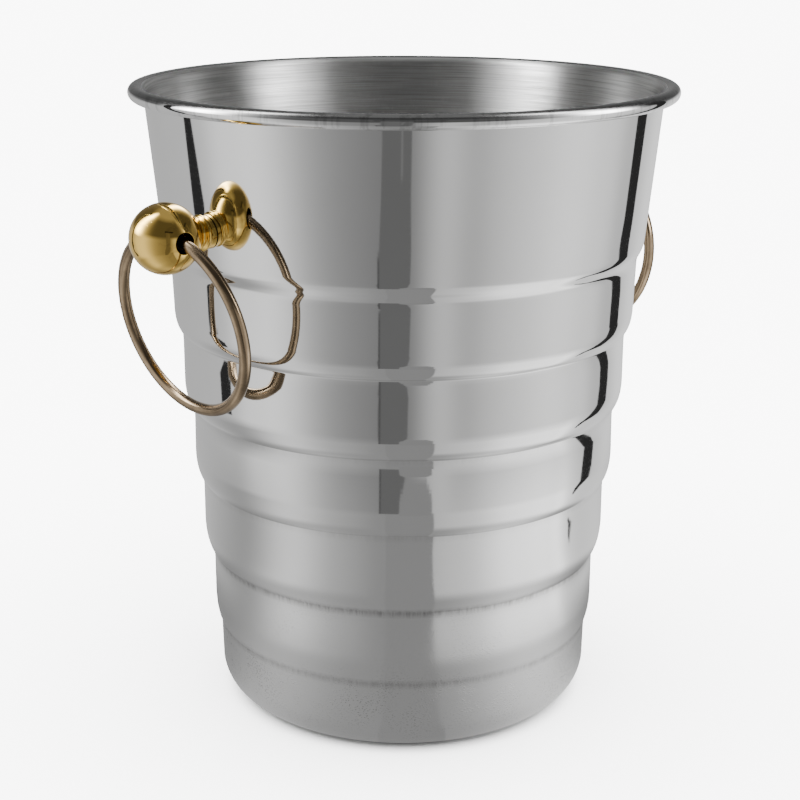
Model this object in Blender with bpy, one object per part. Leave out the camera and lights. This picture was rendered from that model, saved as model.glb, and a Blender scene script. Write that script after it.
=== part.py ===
"""Stepped champagne bucket with two ball knobs and a loose carrying ring through each.

Metres, +Z up.  The origin is the centre of the standing face.  The knobs point
along +X and -X, so each ring swings about a line parallel to Y.
"""
import math

import bmesh
import bpy
from mathutils import Matrix, Vector

# ---- overall sizes -------------------------------------------------------
RIM_RADIUS = 0.1050          # to the outside of the rolled rim
HEIGHT = 0.24755             # standing face to the top of the rolled rim
WALL = 0.0010                # sheet thickness

# ---- rolled rim ----------------------------------------------------------
ROLL_RADIUS = 0.00275        # outside of the roll
ROLL_GAP = 0.0006            # between the sheet's end and the wall it turns back to

# ---- plain band under the rim --------------------------------------------
BAND_TAPER_DEG = 5.57        # the band narrows downwards
SHOULDER_TOP = 0.18907       # height where the band starts to draw in
SHOULDER_IN = 0.00279        # how far the soft shoulder draws in
SHOULDER_DROP = 0.00986      # over this height
SHOULDER_HANDLE = 0.0052     # pull of the shoulder's curve at each end

# ---- steps, from the top: crease height, inset, fillet radius, fillet turn -
STEP_CREASE_Z = (0.15293, 0.12222, 0.09218, 0.06082, 0.03064)
STEP_INSET = (0.00368, 0.00343, 0.00277, 0.00343, 0.00219)
STEP_FILLET = (0.00879, 0.00972, 0.01155, 0.01684, 0.01927)
STEP_TURN_DEG = (49.6, 49.7, 41.8, 37.4, 27.5)

# ---- base ----------------------------------------------------------------
BASE_CORNER_IN = 0.0139      # corner's width
BASE_CORNER_UP = 0.0134      # corner's height
BASE_TAPER = 0.00024         # the lowest step leans in by this much
RECESS_RADIUS = 0.0500       # the raised middle of the base
RECESS_DEPTH = 0.0012
RECESS_SLOPE = 0.0040

# ---- knobs ---------------------------------------------------------------
KNOB_DROP = 0.04635          # knob axis below the top of the rim
KNOB_STANDOFF = 0.0180       # ball centre to the wall
BALL_RADIUS = 0.0127
BALL_FLAT = 0.0115           # flat that meets the collar, from the ball centre
COLLAR_RADIUS = 0.0066       # at its lip
COLLAR_WAIST = 0.0056        # at the groove behind the bead
COLLAR_BEAD = 0.0062         # bead next to the ball
WASHER_RADIUS = 0.0060       # shaped washer between collar and wall
WASHER_THICKNESS = 0.0016

# ---- carrying rings ------------------------------------------------------
RING_RADIUS = 0.0333         # to the middle of the wire
WIRE_RADIUS = 0.0022
LEFT_RING_IN_DEG = 10.9      # how far the ring leans to the wall as it rests
RIGHT_RING_IN_DEG = 2.6
LEFT_RING_TURN_DEG = 2.1     # how far the loose ring has turned in its hole
RING_CLEARANCE = 0.0003      # wire to the cross hole
HOLE_LIP = 0.0006            # rounding at each mouth of the cross hole

# ---- fixings inside ------------------------------------------------------
SCREW_RADIUS = 0.0020
SCREW_END = 0.0062           # screw tip, from the ball centre
HEAD_RADIUS = 0.0040
HEAD_HEIGHT = 0.0024
SLOT_WIDTH = 0.0010
SLOT_DEPTH = 0.0011
SEAL_RADIUS = 0.0070
SEAL_THICKNESS = 0.0018
PLATE_RADIUS = 0.0058
PLATE_THICKNESS = 0.0010

GAP = 0.0003                 # between pieces that touch
TURN_STEPS = 60              # facets round the bucket
SMALL_STEPS = 28             # facets round the knob pieces
BALL_ROWS = 16


def band_radius(z: float) -> float:
    """Outside radius of the plain band at height z."""
    return wall_top_radius() - (roll_centre_z() - z) * math.tan(math.radians(BAND_TAPER_DEG))


def roll_centre_z() -> float:
    """Height of the rolled rim's centre."""
    return HEIGHT - ROLL_RADIUS


def wall_top_radius() -> float:
    """Outside radius of the wall where it turns into the roll."""
    return RIM_RADIUS - 2.0 * ROLL_RADIUS - 0.0002


def knob_z() -> float:
    """Height of both knob axes."""
    return HEIGHT - KNOB_DROP


def ball_x() -> float:
    """Distance of each ball centre from the bucket's axis."""
    return band_radius(knob_z()) + KNOB_STANDOFF


def hole_radius() -> float:
    """Cross hole that lets the curved wire pass through the ball."""
    sag = RING_RADIUS - math.sqrt(RING_RADIUS ** 2 - BALL_RADIUS ** 2)
    return WIRE_RADIUS + sag / 2.0 + RING_CLEARANCE


def ring_drop() -> float:
    """Ring centre below the cross hole's axis."""
    sag = RING_RADIUS - math.sqrt(RING_RADIUS ** 2 - BALL_RADIUS ** 2)
    return RING_RADIUS - sag / 2.0


def clear_scene() -> None:
    """Empty the file."""
    for ob in list(bpy.data.objects):
        bpy.data.objects.remove(ob, do_unlink=True)


def metal(name: str, colour: tuple, roughness: float, metallic: float = 1.0) -> bpy.types.Material:
    """A plain Principled material."""
    mat = bpy.data.materials.new(name)
    mat.use_nodes = True
    shader = mat.node_tree.nodes["Principled BSDF"]
    shader.inputs["Base Color"].default_value = (*colour, 1.0)
    shader.inputs["Roughness"].default_value = roughness
    shader.inputs["Metallic"].default_value = metallic
    return mat


def add_object(name: str, bm: bmesh.types.BMesh, mat: bpy.types.Material,
               smooth_deg: float = 32.0) -> bpy.types.Object:
    """Turn a bmesh into a shaded object with one material."""
    bmesh.ops.remove_doubles(bm, verts=bm.verts, dist=1e-6)
    bmesh.ops.recalc_face_normals(bm, faces=bm.faces)
    mesh = bpy.data.meshes.new(name)
    bm.to_mesh(mesh)
    bm.free()
    mesh.materials.append(mat)
    mesh.shade_smooth()
    mesh.set_sharp_from_angle(angle=math.radians(smooth_deg))
    ob = bpy.data.objects.new(name, mesh)
    bpy.context.scene.collection.objects.link(ob)
    return ob


def turned(profile: list, steps: int, closed: bool) -> bmesh.types.BMesh:
    """Turn (radius, height) points about Z; a closed profile joins its ends."""
    bm = bmesh.new()
    verts = [bm.verts.new((r, 0.0, z)) for r, z in profile]
    edges = [bm.edges.new((a, b)) for a, b in zip(verts, verts[1:])]
    if closed:
        edges.append(bm.edges.new((verts[-1], verts[0])))
    bmesh.ops.spin(bm, geom=verts + edges, cent=(0, 0, 0), axis=(0, 0, 1),
                   angle=math.tau, steps=steps, use_merge=True)
    bmesh.ops.remove_doubles(bm, verts=bm.verts, dist=1e-6)
    return bm


def along_x(bm: bmesh.types.BMesh, side: int) -> bmesh.types.BMesh:
    """Lay a piece turned about Z along the knob axis of one side.

    A turned height h becomes the distance h from the bucket's axis.
    """
    turn = Matrix.Rotation(math.radians(90.0), 4, "Y")
    if side < 0:
        turn = Matrix.Rotation(math.pi, 4, "Z") @ turn
    bmesh.ops.transform(bm, matrix=Matrix.Translation((0, 0, knob_z())) @ turn, verts=bm.verts)
    return bm


def cutter(name: str, bm: bmesh.types.BMesh) -> bpy.types.Object:
    """A tool body for a Boolean."""
    bmesh.ops.recalc_face_normals(bm, faces=bm.faces)
    mesh = bpy.data.meshes.new(name)
    bm.to_mesh(mesh)
    bm.free()
    ob = bpy.data.objects.new(name, mesh)
    bpy.context.scene.collection.objects.link(ob)
    ob.hide_render = True
    ob.display_type = "WIRE"
    return ob


def cut(ob: bpy.types.Object, tool: bpy.types.Object, operation: str = "DIFFERENCE") -> None:
    """Boolean an object, bake the result, and drop the tool."""
    mod = ob.modifiers.new("cut", "BOOLEAN")
    mod.solver = "EXACT"
    mod.operation = operation
    mod.object = tool
    graph = bpy.context.evaluated_depsgraph_get()
    baked = bpy.data.meshes.new_from_object(ob.evaluated_get(graph))
    ob.modifiers.remove(mod)
    ob.data = baked
    bpy.data.objects.remove(tool, do_unlink=True)
    bm = bmesh.new()
    bm.from_mesh(baked)
    bmesh.ops.remove_doubles(bm, verts=bm.verts, dist=2e-6)
    bmesh.ops.dissolve_degenerate(bm, edges=bm.edges, dist=2e-6)
    bm.to_mesh(baked)
    bm.free()
    baked.shade_smooth()
    baked.set_sharp_from_angle(angle=math.radians(32.0))


def arc(centre: tuple, radius: float, start_deg: float, end_deg: float, count: int) -> list:
    """Points on an arc; angles from +r towards +z."""
    points = []
    for i in range(count + 1):
        a = math.radians(start_deg + (end_deg - start_deg) * i / count)
        points.append((centre[0] + radius * math.cos(a), centre[1] + radius * math.sin(a)))
    return points


def shoulder() -> list:
    """The soft curve between the band and the first step."""
    top = Vector((band_radius(SHOULDER_TOP), SHOULDER_TOP))
    low = Vector((top.x - SHOULDER_IN, SHOULDER_TOP - SHOULDER_DROP))
    slope = math.radians(BAND_TAPER_DEG)
    first = top + SHOULDER_HANDLE * Vector((-math.sin(slope), -math.cos(slope)))
    second = low + Vector((0.0, SHOULDER_HANDLE))
    points = []
    for i in range(5):
        t = i / 4
        p = ((1 - t) ** 3 * top + 3 * (1 - t) ** 2 * t * first
             + 3 * (1 - t) * t * t * second + t ** 3 * low)
        points.append((p.x, p.y))
    return points


def outside_profile() -> list:
    """Outside of the sheet from the top of the wall down to the standing face."""
    points = [(wall_top_radius(), roll_centre_z())]
    points += shoulder()
    radius = points[-1][0]
    for z, inset, fillet, turn in zip(STEP_CREASE_Z, STEP_INSET, STEP_FILLET, STEP_TURN_DEG):
        crease = radius - inset
        a = math.radians(turn)
        centre = (crease - fillet * math.cos(a), z + fillet * math.sin(a))
        points += arc(centre, fillet, 0.0, -turn, 3)
        radius = crease
    foot = radius - BASE_TAPER
    for i in range(6):
        a = math.radians(90.0 * i / 5)
        points.append((foot - BASE_CORNER_IN * (1 - math.cos(a)),
                       BASE_CORNER_UP * (1 - math.sin(a))))
    points.append((RECESS_RADIUS + RECESS_SLOPE, 0.0))
    points.append((RECESS_RADIUS, RECESS_DEPTH))
    return points


def offset_inwards(points: list, distance: float) -> list:
    """Offset a top-to-bottom profile towards the inside, mitred at its corners."""
    result = []
    for i, point in enumerate(points):
        before = points[max(i - 1, 0)]
        after = points[min(i + 1, len(points) - 1)]
        normals = []
        for a, b in ((before, point), (point, after)):
            run = Vector((b[0] - a[0], b[1] - a[1]))
            if run.length > 1e-9:
                run.normalize()
                normals.append(Vector((run.y, -run.x)))
        mitre = sum(normals, Vector((0.0, 0.0))).normalized()
        reach = distance / max(mitre.dot(normals[0]), 0.5)
        result.append((point[0] + mitre.x * reach, point[1] + mitre.y * reach))
    return result


def body_profile() -> list:
    """Closed section of the one-piece body, with its ends on the axis."""
    outside = outside_profile()
    inside = offset_inwards(outside, WALL)
    centre = (RIM_RADIUS - ROLL_RADIUS, roll_centre_z())
    inner_reach = centre[0] - inside[0][0]
    crown = []
    for i in range(4):
        a = math.radians(90.0 * i / 4)
        crown.append((centre[0] - inner_reach * math.cos(a), centre[1] + ROLL_RADIUS * math.sin(a)))
    back = math.degrees(math.acos((ROLL_RADIUS - ROLL_GAP) / ROLL_RADIUS))
    end = -180.0 + back
    roll_out = (arc(centre, ROLL_RADIUS, 90.0, 0.0, 4)
                + arc(centre, ROLL_RADIUS, 0.0, end, 5)[1:])
    roll_in = arc(centre, ROLL_RADIUS - WALL, end, 90.0, 6)
    neck_reach = centre[0] - outside[0][0]
    under = []
    for i in range(1, 4):
        a = math.radians(90.0 - 90.0 * i / 4)
        under.append((centre[0] - neck_reach * math.cos(a),
                      centre[1] + (ROLL_RADIUS - WALL) * math.sin(a)))
    section = [(0.0, WALL + RECESS_DEPTH)] + inside[::-1]
    section += crown[1:] + roll_out + roll_in + under
    section += outside + [(0.0, RECESS_DEPTH)]
    return section


def band_tool(extra: float, thick: float, low: float, high: float) -> bmesh.types.BMesh:
    """The band's cone as a solid; extra moves it out from the wall's outside."""
    shift = extra - thick
    slope = math.cos(math.radians(BAND_TAPER_DEG))
    bottom = band_radius(low) + shift / slope
    top = band_radius(high) + shift / slope
    return turned([(0.0, low), (bottom, low), (top, high), (0.0, high)], TURN_STEPS, closed=False)


def ring_washer(outer: float, inner: float, near: float, far: float) -> list:
    """Closed section of a plain washer."""
    return [(inner, near), (outer, near), (outer, far), (inner, far)]


def build_body(mat: bpy.types.Material) -> None:
    """The spun body with its rolled rim, drilled for the two screws."""
    bm = turned(body_profile(), TURN_STEPS, closed=False)
    body = add_object("bucket_body", bm, mat)
    drill = SCREW_RADIUS + GAP
    for side in (-1, 1):
        x = band_radius(knob_z())
        bar = turned([(0.0, x - 0.01), (drill, x - 0.01), (drill, x + 0.01), (0.0, x + 0.01)],
                     SMALL_STEPS, closed=False)
        cut(body, cutter("drill", along_x(bar, side)))


def build_knob(label: str, side: int, mats: dict) -> None:
    """Ball, collar, washers and screw of one side."""
    x = ball_x()
    z = knob_z()
    bore = SCREW_RADIUS + GAP
    bore_end = SCREW_END - 0.0010
    face = x - KNOB_STANDOFF

    flat_angle = math.degrees(math.acos(BALL_FLAT / BALL_RADIUS))
    ball = [(0.0, x - bore_end), (bore, x - bore_end), (bore, x - BALL_FLAT)]
    ball += arc((0.0, x), BALL_RADIUS, -90.0 + flat_angle, 90.0, BALL_ROWS)
    ball[-1] = (0.0, x + BALL_RADIUS)
    knob = add_object(f"{label}_ball", along_x(turned(ball, SMALL_STEPS, closed=False), side),
                      mats["brass"])
    hole = hole_radius()
    half = math.sqrt(BALL_RADIUS ** 2 - hole ** 2)
    mouth = [(0.0, -0.02), (hole + 0.004, -0.02), (hole + 0.004, -half - HOLE_LIP * 0.2)]
    mouth += [(hole + HOLE_LIP, -half), (hole + HOLE_LIP * 0.3, -half + HOLE_LIP * 0.6),
              (hole, -half + HOLE_LIP * 1.4)]
    tool = turned(mouth + [(r, -h) for r, h in mouth[::-1]], SMALL_STEPS, closed=False)
    turn = Matrix.Translation((side * x, 0, z)) @ Matrix.Rotation(math.radians(90.0), 4, "X")
    bmesh.ops.transform(tool, matrix=turn, verts=tool.verts)
    cut(knob, cutter("cross_hole", tool))

    start = x - BALL_FLAT - GAP
    lip = face + WASHER_THICKNESS + 2 * GAP
    length = start - lip
    collar = [(bore, start), (COLLAR_WAIST - 0.0004, start)]
    collar += [(COLLAR_BEAD - 0.0001, start - 0.12 * length), (COLLAR_BEAD, start - 0.24 * length),
               (COLLAR_BEAD - 0.0001, start - 0.38 * length), (COLLAR_WAIST, start - 0.46 * length)]
    collar += [(COLLAR_WAIST + 0.0002, start - 0.52 * length),
               (COLLAR_RADIUS - 0.0002, start - 0.66 * length),
               (COLLAR_RADIUS, start - 0.78 * length), (COLLAR_RADIUS - 0.0001, start - 0.92 * length),
               (COLLAR_RADIUS - 0.0004, lip), (bore, lip)]
    add_object(f"{label}_collar", along_x(turned(collar, SMALL_STEPS, closed=True), side),
               mats["brass"], smooth_deg=50.0)

    washer = ring_washer(WASHER_RADIUS, bore, lip - GAP, face - 0.004)
    saddle = add_object(f"{label}_saddle_washer",
                        along_x(turned(washer, SMALL_STEPS, closed=True), side), mats["brass"])
    low, high = z - 0.015, z + 0.015
    cut(saddle, cutter("wall", band_tool(GAP, 0.0, low, high)))

    inner = face - WALL / math.cos(math.radians(BAND_TAPER_DEG))
    seat = inner - SEAL_THICKNESS
    seal = ring_washer(SEAL_RADIUS, bore, inner + 0.003, seat)
    rubber = add_object(f"{label}_seal", along_x(turned(seal, SMALL_STEPS, closed=True), side),
                        mats["rubber"])
    cut(rubber, cutter("wall", band_tool(-GAP, WALL, low, high)), "INTERSECT")

    plate = ring_washer(PLATE_RADIUS, bore, seat - GAP, seat - GAP - PLATE_THICKNESS)
    add_object(f"{label}_plate_washer", along_x(turned(plate, SMALL_STEPS, closed=True), side),
               mats["steel"])

    under = seat - 2 * GAP - PLATE_THICKNESS
    top = under - HEAD_HEIGHT
    screw = [(0.0, x - SCREW_END), (SCREW_RADIUS - 0.0004, x - SCREW_END),
             (SCREW_RADIUS, x - SCREW_END - 0.0004), (SCREW_RADIUS, under), (HEAD_RADIUS, under),
             (HEAD_RADIUS, top + 0.0011), (HEAD_RADIUS - 0.0003, top + 0.0006),
             (HEAD_RADIUS - 0.0012, top + 0.0001), (0.0, top)]
    bolt = add_object(f"{label}_screw", along_x(turned(screw, SMALL_STEPS, closed=False), side),
                      mats["steel"])
    slot = bmesh.new()
    bmesh.ops.create_cube(slot, size=1.0)
    bmesh.ops.scale(slot, vec=(2 * SLOT_DEPTH, 3 * HEAD_RADIUS, SLOT_WIDTH), verts=slot.verts)
    bmesh.ops.translate(slot, vec=(side * top, 0, z), verts=slot.verts)
    cut(bolt, cutter("slot", slot))


def build_ring(label: str, side: int, lean_deg: float, turn_deg: float,
               mat: bpy.types.Material) -> None:
    """A closed wire ring through the ball, on an empty at its swing axis."""
    bm = bmesh.new()
    section = (Matrix.Translation((0, 0, RING_RADIUS - ring_drop()))
               @ Matrix.Rotation(math.radians(90.0), 4, "X"))
    bmesh.ops.create_circle(bm, segments=12, radius=WIRE_RADIUS, matrix=section)
    bmesh.ops.spin(bm, geom=list(bm.verts) + list(bm.edges), cent=(0, 0, -ring_drop()),
                   axis=(1, 0, 0), angle=math.tau, steps=60, use_merge=True)
    lean = (Matrix.Rotation(math.radians(side * lean_deg), 4, "Y")
            @ Matrix.Rotation(math.radians(turn_deg), 4, "Z"))
    place = Matrix.Translation((side * ball_x(), 0, knob_z()))
    bmesh.ops.transform(bm, matrix=lean, verts=bm.verts)
    ring = add_object(f"{label}_ring", bm, mat, smooth_deg=60.0)
    pivot = bpy.data.objects.new(f"{label}_ring_pivot", None)
    bpy.context.scene.collection.objects.link(pivot)
    pivot.matrix_world = place
    ring.parent = pivot


def main() -> None:
    """Build every piece."""
    clear_scene()
    mats = {
        "silver": metal("polished_silver", (0.80, 0.80, 0.80), 0.12),
        "brass": metal("polished_brass", (0.83, 0.65, 0.30), 0.12),
        "bronze": metal("aged_brass", (0.36, 0.27, 0.16), 0.28),
        "steel": metal("screw_steel", (0.55, 0.55, 0.56), 0.30),
        "rubber": metal("seal_rubber", (0.05, 0.05, 0.05), 0.80, 0.0),
    }
    build_body(mats["silver"])
    for label, side, lean, turn in (("left", -1, LEFT_RING_IN_DEG, LEFT_RING_TURN_DEG),
                                    ("right", 1, RIGHT_RING_IN_DEG, 0.0)):
        build_knob(label, side, mats)
        build_ring(label, side, lean, turn, mats["bronze"])


main()
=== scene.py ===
"""Stepped champagne bucket with a rolled rim, ball knobs and loose carrying rings.

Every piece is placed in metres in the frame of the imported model, with the
standing face at z = 0 and the knobs along +X and -X.
"""
from __future__ import annotations

import logging
import math
from dataclasses import dataclass, field
from enum import Enum

import bmesh
import bpy
import numpy as np
from mathutils import Matrix, Vector

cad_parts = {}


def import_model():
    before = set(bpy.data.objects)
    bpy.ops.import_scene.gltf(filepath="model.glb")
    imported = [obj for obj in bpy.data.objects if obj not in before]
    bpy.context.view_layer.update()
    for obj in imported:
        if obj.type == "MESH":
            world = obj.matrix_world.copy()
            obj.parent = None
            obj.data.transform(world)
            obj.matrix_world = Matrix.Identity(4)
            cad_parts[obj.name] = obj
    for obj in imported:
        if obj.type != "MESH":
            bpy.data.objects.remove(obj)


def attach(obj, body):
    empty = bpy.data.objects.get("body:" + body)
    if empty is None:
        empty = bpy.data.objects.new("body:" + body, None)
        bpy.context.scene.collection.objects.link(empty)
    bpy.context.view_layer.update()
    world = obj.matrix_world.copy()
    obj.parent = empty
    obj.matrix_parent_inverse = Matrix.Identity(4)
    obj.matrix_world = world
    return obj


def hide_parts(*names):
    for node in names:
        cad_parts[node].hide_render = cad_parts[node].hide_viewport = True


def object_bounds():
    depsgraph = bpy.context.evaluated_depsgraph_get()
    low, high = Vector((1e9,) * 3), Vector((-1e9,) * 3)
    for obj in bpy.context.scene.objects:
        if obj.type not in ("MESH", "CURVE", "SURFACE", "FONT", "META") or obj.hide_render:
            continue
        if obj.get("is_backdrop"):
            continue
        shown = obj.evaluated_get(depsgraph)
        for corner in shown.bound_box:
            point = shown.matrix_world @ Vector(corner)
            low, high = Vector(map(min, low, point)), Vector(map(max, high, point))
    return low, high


LOG = logging.getLogger("champagne_bucket")

Point = tuple[float, float]


class Side(Enum):
    """The two handles; the value is the sign of x."""

    LEFT = -1
    RIGHT = 1

    @property
    def label(self) -> str:
        """Name used in piece and node names."""
        return self.name.lower()


class Zone(Enum):
    """Parts of the sheet that get their own finish; the value is the slot index."""

    OUTSIDE = 0
    INSIDE = 1


# --------------------------------------------------------------------------
# Node helpers
# --------------------------------------------------------------------------


class NodeDesk:
    """Small helper that lays out shader nodes in one material."""

    def __init__(self, name: str) -> None:
        """Start an empty material with a Principled shader.

        Args:
            name: Name of the material.
        """
        self.material = bpy.data.materials.new(name)
        self.material.use_nodes = True
        self.tree = self.material.node_tree
        self.shader = self.tree.nodes["Principled BSDF"]
        self.coords = self.tree.nodes.new("ShaderNodeTexCoord").outputs["Object"]

    def node(self, kind: str, **values: object) -> bpy.types.Node:
        """Add a node and set its properties.

        Args:
            kind: Node type without the ShaderNode prefix.
            **values: Properties of the node.

        Returns:
            The new node.
        """
        made = self.tree.nodes.new("ShaderNode" + kind)
        for key, value in values.items():
            setattr(made, key, value)
        return made

    def feed(self, socket: bpy.types.NodeSocket, value: object) -> None:
        """Link or set one input socket."""
        if isinstance(value, bpy.types.NodeSocket):
            self.tree.links.new(value, socket)
        else:
            socket.default_value = value

    def math(self, operation: str, *values: object, clamp: bool = False) -> bpy.types.NodeSocket:
        """A math node on values or sockets."""
        made = self.node("Math", operation=operation, use_clamp=clamp)
        for socket, value in zip(made.inputs, values):
            self.feed(socket, value)
        return made.outputs[0]

    def stretched(self, scale: tuple[float, float, float]) -> bpy.types.NodeSocket:
        """Object coordinates scaled along each axis."""
        made = self.node("Mapping")
        self.feed(made.inputs["Vector"], self.coords)
        made.inputs["Scale"].default_value = scale
        return made.outputs["Vector"]

    def noise(self, scale: float, detail: float = 3.0, rough: float = 0.5,
              stretch: tuple[float, float, float] = (1.0, 1.0, 1.0),
              warp: float = 0.0) -> bpy.types.NodeSocket:
        """Value of a noise texture on Object coordinates."""
        made = self.node("TexNoise")
        self.feed(made.inputs["Vector"], self.stretched(stretch))
        made.inputs["Scale"].default_value = scale
        made.inputs["Detail"].default_value = detail
        made.inputs["Roughness"].default_value = rough
        made.inputs["Distortion"].default_value = warp
        return made.outputs["Fac"]

    def spots(self, scale: float, stretch: tuple[float, float, float] = (1.0, 1.0, 1.0),
              ) -> bpy.types.NodeSocket:
        """Distance to the nearest scattered point."""
        made = self.node("TexVoronoi")
        self.feed(made.inputs["Vector"], self.stretched(stretch))
        made.inputs["Scale"].default_value = scale
        return made.outputs["Distance"]

    def ramp(self, value: object, *stops: tuple[float, float]) -> bpy.types.NodeSocket:
        """Piecewise linear remap; each stop is (in, out)."""
        made = self.node("ValToRGB")
        self.feed(made.inputs["Fac"], value)
        elements = made.color_ramp.elements
        while len(elements) < len(stops):
            elements.new(0.5)
        for element, (place, level) in zip(elements, stops):
            element.position = place
            element.color = (level, level, level, 1.0)
        return made.outputs["Color"]

    def span(self, value: object, low: float, high: float, out_low: float = 0.0,
             out_high: float = 1.0) -> bpy.types.NodeSocket:
        """Clamped linear map from one range to another."""
        made = self.node("MapRange")
        for socket, number in zip(made.inputs, (value, low, high, out_low, out_high)):
            self.feed(socket, number)
        return made.outputs[0]

    def mix(self, factor: object, first: object, second: object) -> bpy.types.NodeSocket:
        """Blend two colours."""
        made = self.node("Mix", data_type="RGBA")
        self.feed(made.inputs["Factor"], factor)
        for socket, value in ((made.inputs[6], first), (made.inputs[7], second)):
            self.feed(socket, (*value, 1.0) if isinstance(value, tuple) else value)
        return made.outputs[2]

    def axis(self, name: str) -> bpy.types.NodeSocket:
        """One Object coordinate, X, Y or Z."""
        made = self.node("SeparateXYZ")
        self.feed(made.inputs[0], self.coords)
        return made.outputs[name]

    def bump(self, height: object, strength: float, distance: float,
             below: object = None) -> bpy.types.NodeSocket:
        """A bump from a height, on top of another normal if one is given."""
        made = self.node("Bump")
        made.inputs["Strength"].default_value = strength
        made.inputs["Distance"].default_value = distance
        self.feed(made.inputs["Height"], height)
        if below is not None:
            self.feed(made.inputs["Normal"], below)
        return made.outputs["Normal"]

    def finish(self, **sockets: object) -> bpy.types.Material:
        """Feed the Principled shader's sockets by name and hand over the material."""
        for key, value in sockets.items():
            name = key.replace("_", " ").title().replace("Ior", "IOR")
            self.feed(self.shader.inputs[name], value)
        return self.material


# --------------------------------------------------------------------------
# Finishes
# --------------------------------------------------------------------------


@dataclass(frozen=True)
class MirrorSilver:
    """Polished sheet that turns satin and pitted towards the foot."""

    colour: tuple[float, float, float] = (0.80, 0.80, 0.795)
    roughness: float = 0.035
    foot_roughness: float = 0.24
    crown: float = 0.2460            # above this the rolled rim is rubbed dull and painted darker as painted shade
    # (height, strength) of the painted shade along the lowest creases, a dark line broken by fine
    # tool-mark ticks
    dirt: tuple[Point, ...] = ((0.0604, 0.60), (0.0302, 0.42), (0.0918, 0.16), (0.1218, 0.12))

    def material(self) -> bpy.types.Material:
        """Build the node material."""
        d = NodeDesk("polished_silver")
        z = d.axis("Z")
        worn = d.ramp(d.span(z, 0.0, 0.25), (0.0, 1.0), (0.10, 0.80), (0.235, 0.42), (0.28, 0.16),
                      (0.42, 0.06), (0.62, 0.02), (1.0, 0.0))
        cloud = d.noise(26.0, 5.0, 0.62)
        satin = d.math("MULTIPLY", worn, d.span(cloud, 0.3, 0.75, 0.55, 1.25))
        hair = d.noise(900.0, 2.0, 0.6, (0.02, 0.02, 1.0))
        rub = d.span(hair, 0.45, 0.75, 0.0, 0.03)
        rough = d.math("ADD", d.span(satin, 0.0, 1.0, self.roughness, self.foot_roughness), rub)
        pits = d.span(d.spots(1000.0, (1.0, 1.0, 1.6)), 0.10, 0.42, 1.0, 0.0)
        patch = d.span(d.noise(75.0, 4.0, 0.7), 0.40, 0.62)
        belt = d.ramp(d.span(z, 0.0, 0.08), (0.0, 0.15), (0.14, 0.45), (0.22, 1.0), (0.36, 0.9),
                      (0.44, 0.25), (0.72, 0.12), (1.0, 0.0))
        pitted = d.math("MULTIPLY", d.math("MULTIPLY", pits, patch), belt)
        tone = d.mix(d.span(cloud, 0.35, 0.7, 0.0, 0.35), self.colour, (0.72, 0.715, 0.70))
        tone = d.mix(d.math("MULTIPLY", pitted, 0.75), tone, (0.24, 0.235, 0.225))
        wave = d.bump(d.noise(7.0, 1.0, 0.4, (1.0, 1.0, 2.2)), 0.10, 0.0012)
        lines = d.bump(hair, 0.015, 0.0002, wave)
        dents = d.bump(pitted, 0.35, 0.0003, lines)
        tick = d.span(d.noise(620.0, 3.0, 0.7, (1.0, 1.0, 0.08)), 0.40, 0.66)
        # Painted shade: a dark line along each of the lowest creases, broken up by fine tool-mark ticks.
        dirt: object = 0.0
        for height, depth in self.dirt:
            near = d.span(d.math("ABSOLUTE", d.math("SUBTRACT", z, height)), 0.0002, 0.0024, depth, 0.0)
            dirt = d.math("ADD", dirt, near)
        tone = d.mix(d.math("MULTIPLY", dirt, d.span(tick, 0.0, 1.0, 0.45, 1.0), clamp=True), tone,
                     (0.16, 0.155, 0.15))
        mark = d.span(d.noise(300.0, 2.0, 0.7, (1.0, 1.0, 0.02)), 0.52, 0.66)
        rim = d.span(z, 0.2418, 0.2424)
        tone = d.mix(d.math("MULTIPLY", d.math("MULTIPLY", mark, rim), 0.30), tone, (0.25, 0.25, 0.25))
        # Painted shade: the top of the rolled rim is painted a dull dark grey; its roughness also rises.
        crown = d.span(z, self.crown - 0.0002, self.crown + 0.0002)
        dull = d.mix(mark, (0.30, 0.30, 0.298), (0.22, 0.22, 0.218))
        tone = d.mix(crown, tone, dull)
        rough = d.math("ADD", rough, d.math("MULTIPLY", crown, 0.16))
        return d.finish(base_color=tone, metallic=1.0, roughness=rough, normal=dents)


@dataclass(frozen=True)
class BrushedSilver:
    """Inside of the sheet, brushed round and round."""

    colour: tuple[float, float, float] = (0.74, 0.74, 0.735)
    worn: tuple[float, float, float] = (0.62, 0.62, 0.615)
    groove: tuple[float, float, float] = (0.36, 0.36, 0.355)
    roughness: float = 0.36

    def material(self) -> bpy.types.Material:
        """Build the node material."""
        d = NodeDesk("brushed_silver")
        strand = d.noise(1900.0, 2.0, 0.7, (0.012, 0.012, 1.0))
        broad = d.noise(160.0, 3.0, 0.6, (0.05, 0.05, 1.0))
        rough = d.math("ADD", d.span(broad, 0.3, 0.7, self.roughness - 0.05, self.roughness + 0.07),
                       d.span(strand, 0.3, 0.7, -0.06, 0.06))
        tone = d.mix(d.span(broad, 0.3, 0.72), self.colour, self.worn)
        tone = d.mix(d.span(strand, 0.42, 0.66, 0.0, 0.55), tone, self.groove)
        normal = d.bump(strand, 0.16, 0.0003)
        tangent = d.node("Tangent", direction_type="RADIAL", axis="Z")
        return d.finish(base_color=tone, metallic=1.0, roughness=rough, anisotropic=0.97,
                        anisotropic_rotation=0.25, normal=normal, tangent=tangent.outputs[0])


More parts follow.
